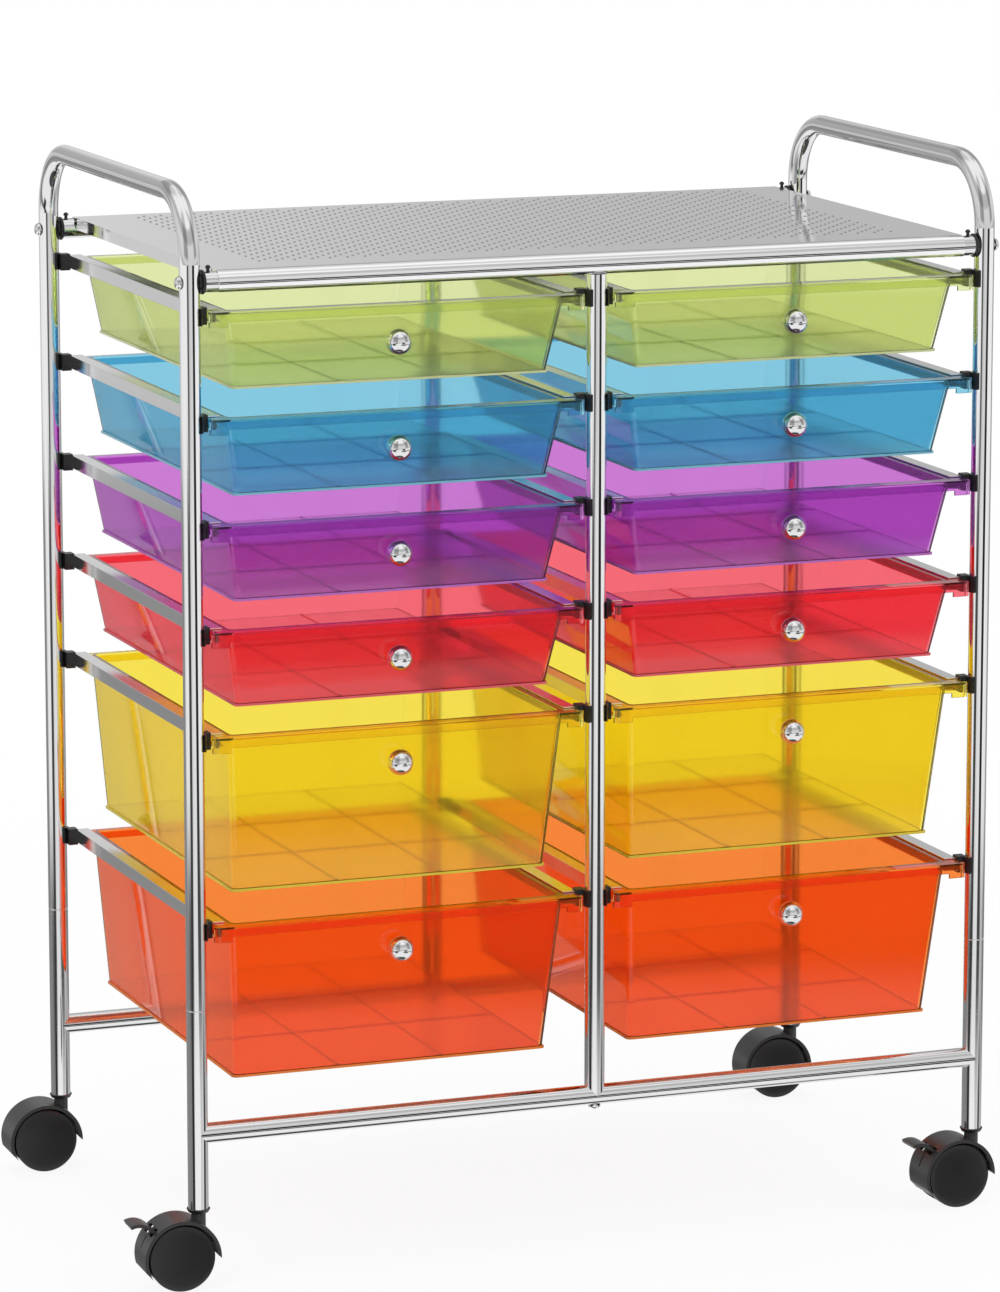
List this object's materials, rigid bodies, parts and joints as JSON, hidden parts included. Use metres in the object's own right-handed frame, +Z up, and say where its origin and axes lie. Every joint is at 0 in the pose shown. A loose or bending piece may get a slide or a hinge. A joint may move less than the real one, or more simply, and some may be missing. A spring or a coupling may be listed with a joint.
{
  "type": "rolling drawer cart",
  "caption": "Chrome tube cart on twin-wheel casters with a sheet tray, side push handles and two columns of clear tinted drawers, four shallow above two deep.",
  "frame": {"origin": "on the floor, in the middle between the four posts", "axes": "+X to the right seen from the front, +Y to the back, +Z up; the drawers pull out towards -Y"},
  "size_m": [0.6878, 0.3773, 0.8039],
  "materials": {
    "bright_chrome": "polished",
    "zinc_rail": "bright plated",
    "black_plastic": "satin",
    "hood_plastic": "semi-gloss",
    "wheel_plastic": "smooth",
    "steel_pin": "plain",
    "lime_clear": "clear tinted, polished",
    "blue_clear": "clear tinted, polished",
    "purple_clear": "clear tinted, polished",
    "red_clear": "clear tinted, polished",
    "yellow_clear": "clear tinted, polished",
    "orange_clear": "clear tinted, polished"
  },
  "bodies": {
    "frame": {"left_side_tube": "bright_chrome", "right_side_tube": "bright_chrome", "base_front_left": "bright_chrome", "base_front_right": "bright_chrome", "base_rear_left": "bright_chrome", "base_rear_right": "bright_chrome", "top_tube_front": "bright_chrome", "top_tube_rear": "bright_chrome", "centre_posts": "bright_chrome", "top_tray": "bright_chrome", "side_rails_left": "zinc_rail", "side_rails_right": "zinc_rail", "centre_rails": "zinc_rail", "rail_clips": "black_plastic", "tube_end_cups": "black_plastic", "frame_bolts": "bright_chrome", "caster_sockets": "black_plastic", "tray_pegs": "black_plastic"},
    "drawer_left_1": {"drawer_left_1": "lime_clear", "knob_left_1": "bright_chrome"},
    "drawer_left_2": {"drawer_left_2": "blue_clear", "knob_left_2": "bright_chrome"},
    "drawer_left_3": {"drawer_left_3": "purple_clear", "knob_left_3": "bright_chrome"},
    "drawer_left_4": {"drawer_left_4": "red_clear", "knob_left_4": "bright_chrome"},
    "drawer_left_5": {"drawer_left_5": "yellow_clear", "knob_left_5": "bright_chrome"},
    "drawer_left_6": {"drawer_left_6": "orange_clear", "knob_left_6": "bright_chrome"},
    "drawer_right_1": {"drawer_right_1": "lime_clear", "knob_right_1": "bright_chrome"},
    "drawer_right_2": {"drawer_right_2": "blue_clear", "knob_right_2": "bright_chrome"},
    "drawer_right_3": {"drawer_right_3": "purple_clear", "knob_right_3": "bright_chrome"},
    "drawer_right_4": {"drawer_right_4": "red_clear", "knob_right_4": "bright_chrome"},
    "drawer_right_5": {"drawer_right_5": "yellow_clear", "knob_right_5": "bright_chrome"},
    "drawer_right_6": {"drawer_right_6": "orange_clear", "knob_right_6": "bright_chrome"},
    "caster_front_left": {"caster_hood_front_left": "hood_plastic", "caster_pins_front_left": "steel_pin"},
    "wheel_front_left_outer": {"wheel_front_left_outer": "wheel_plastic"},
    "wheel_front_left_inner": {"wheel_front_left_inner": "wheel_plastic"},
    "brake_lever_left": {"brake_lever_left": "hood_plastic"},
    "caster_front_right": {"caster_hood_front_right": "hood_plastic", "caster_pins_front_right": "steel_pin"},
    "wheel_front_right_outer": {"wheel_front_right_outer": "wheel_plastic"},
    "wheel_front_right_inner": {"wheel_front_right_inner": "wheel_plastic"},
    "brake_lever_right": {"brake_lever_right": "hood_plastic"},
    "caster_rear_left": {"caster_hood_rear_left": "hood_plastic", "caster_pins_rear_left": "steel_pin"},
    "wheel_rear_left_outer": {"wheel_rear_left_outer": "wheel_plastic"},
    "wheel_rear_left_inner": {"wheel_rear_left_inner": "wheel_plastic"},
    "caster_rear_right": {"caster_hood_rear_right": "hood_plastic", "caster_pins_rear_right": "steel_pin"},
    "wheel_rear_right_outer": {"wheel_rear_right_outer": "wheel_plastic"},
    "wheel_rear_right_inner": {"wheel_rear_right_inner": "wheel_plastic"}
  },
  "joints": [
    {"name": "drawer_left_1_slide", "type": "slide", "parent": "frame", "child": "drawer_left_1", "axis": [0, -1, 0], "range_m": [0, 0.27]},
    {"name": "drawer_left_2_slide", "type": "slide", "parent": "frame", "child": "drawer_left_2", "axis": [0, -1, 0], "range_m": [0, 0.27]},
    {"name": "drawer_left_3_slide", "type": "slide", "parent": "frame", "child": "drawer_left_3", "axis": [0, -1, 0], "range_m": [0, 0.27]},
    {"name": "drawer_left_4_slide", "type": "slide", "parent": "frame", "child": "drawer_left_4", "axis": [0, -1, 0], "range_m": [0, 0.27]},
    {"name": "drawer_left_5_slide", "type": "slide", "parent": "frame", "child": "drawer_left_5", "axis": [0, -1, 0], "range_m": [0, 0.27]},
    {"name": "drawer_left_6_slide", "type": "slide", "parent": "frame", "child": "drawer_left_6", "axis": [0, -1, 0], "range_m": [0, 0.27]},
    {"name": "drawer_right_1_slide", "type": "slide", "parent": "frame", "child": "drawer_right_1", "axis": [0, -1, 0], "range_m": [0, 0.27]},
    {"name": "drawer_right_2_slide", "type": "slide", "parent": "frame", "child": "drawer_right_2", "axis": [0, -1, 0], "range_m": [0, 0.27]},
    {"name": "drawer_right_3_slide", "type": "slide", "parent": "frame", "child": "drawer_right_3", "axis": [0, -1, 0], "range_m": [0, 0.27]},
    {"name": "drawer_right_4_slide", "type": "slide", "parent": "frame", "child": "drawer_right_4", "axis": [0, -1, 0], "range_m": [0, 0.27]},
    {"name": "drawer_right_5_slide", "type": "slide", "parent": "frame", "child": "drawer_right_5", "axis": [0, -1, 0], "range_m": [0, 0.27]},
    {"name": "drawer_right_6_slide", "type": "slide", "parent": "frame", "child": "drawer_right_6", "axis": [0, -1, 0], "range_m": [0, 0.27]},
    {"name": "caster_front_left_swivel", "type": "hinge", "parent": "frame", "child": "caster_front_left", "pos_m": [-0.31, -0.172, 0.0553], "axis": [0, 0, 1], "continuous": true},
    {"name": "wheel_front_left_outer_spin", "type": "hinge", "parent": "caster_front_left", "child": "wheel_front_left_outer", "pos_m": [-0.32558, -0.17127, 0.0246], "axis": [0.0471, 0.9989, 0], "continuous": true},
    {"name": "wheel_front_left_inner_spin", "type": "hinge", "parent": "caster_front_left", "child": "wheel_front_left_inner", "pos_m": [-0.32558, -0.17127, 0.0246], "axis": [0.0471, 0.9989, 0], "continuous": true},
    {"name": "brake_lever_left_press", "type": "hinge", "parent": "caster_front_left", "child": "brake_lever_left", "pos_m": [-0.33759, -0.1707, 0.03662], "axis": [-0.0471, -0.9989, 0], "range_deg": [0, 10]},
    {"name": "caster_front_right_swivel", "type": "hinge", "parent": "frame", "child": "caster_front_right", "pos_m": [0.31, -0.172, 0.0553], "axis": [0, 0, 1], "continuous": true},
    {"name": "wheel_front_right_outer_spin", "type": "hinge", "parent": "caster_front_right", "child": "wheel_front_right_outer", "pos_m": [0.2944, -0.17227, 0.0246], "axis": [-0.0175, 0.9998, 0], "continuous": true},
    {"name": "wheel_front_right_inner_spin", "type": "hinge", "parent": "caster_front_right", "child": "wheel_front_right_inner", "pos_m": [0.2944, -0.17227, 0.0246], "axis": [-0.0175, 0.9998, 0], "continuous": true},
    {"name": "brake_lever_right_press", "type": "hinge", "parent": "caster_front_right", "child": "brake_lever_right", "pos_m": [0.28238, -0.17248, 0.03662], "axis": [0.0175, -0.9998, 0], "range_deg": [0, 10]},
    {"name": "caster_rear_left_swivel", "type": "hinge", "parent": "frame", "child": "caster_rear_left", "pos_m": [-0.31, 0.172, 0.0553], "axis": [0, 0, 1], "continuous": true},
    {"name": "wheel_rear_left_outer_spin", "type": "hinge", "parent": "caster_rear_left", "child": "wheel_rear_left_outer", "pos_m": [-0.32559, 0.17254, 0.0246], "axis": [0.0349, 0.9994, 0], "continuous": true},
    {"name": "wheel_rear_left_inner_spin", "type": "hinge", "parent": "caster_rear_left", "child": "wheel_rear_left_inner", "pos_m": [-0.32559, 0.17254, 0.0246], "axis": [0.0349, 0.9994, 0], "continuous": true},
    {"name": "caster_rear_right_swivel", "type": "hinge", "parent": "frame", "child": "caster_rear_right", "pos_m": [0.31, 0.172, 0.0553], "axis": [0, 0, 1], "continuous": true},
    {"name": "wheel_rear_right_outer_spin", "type": "hinge", "parent": "caster_rear_right", "child": "wheel_rear_right_outer", "pos_m": [0.29441, 0.17254, 0.0246], "axis": [0.0349, 0.9994, 0], "continuous": true},
    {"name": "wheel_rear_right_inner_spin", "type": "hinge", "parent": "caster_rear_right", "child": "wheel_rear_right_inner", "pos_m": [0.29441, 0.17254, 0.0246], "axis": [0.0349, 0.9994, 0], "continuous": true}
  ]
}
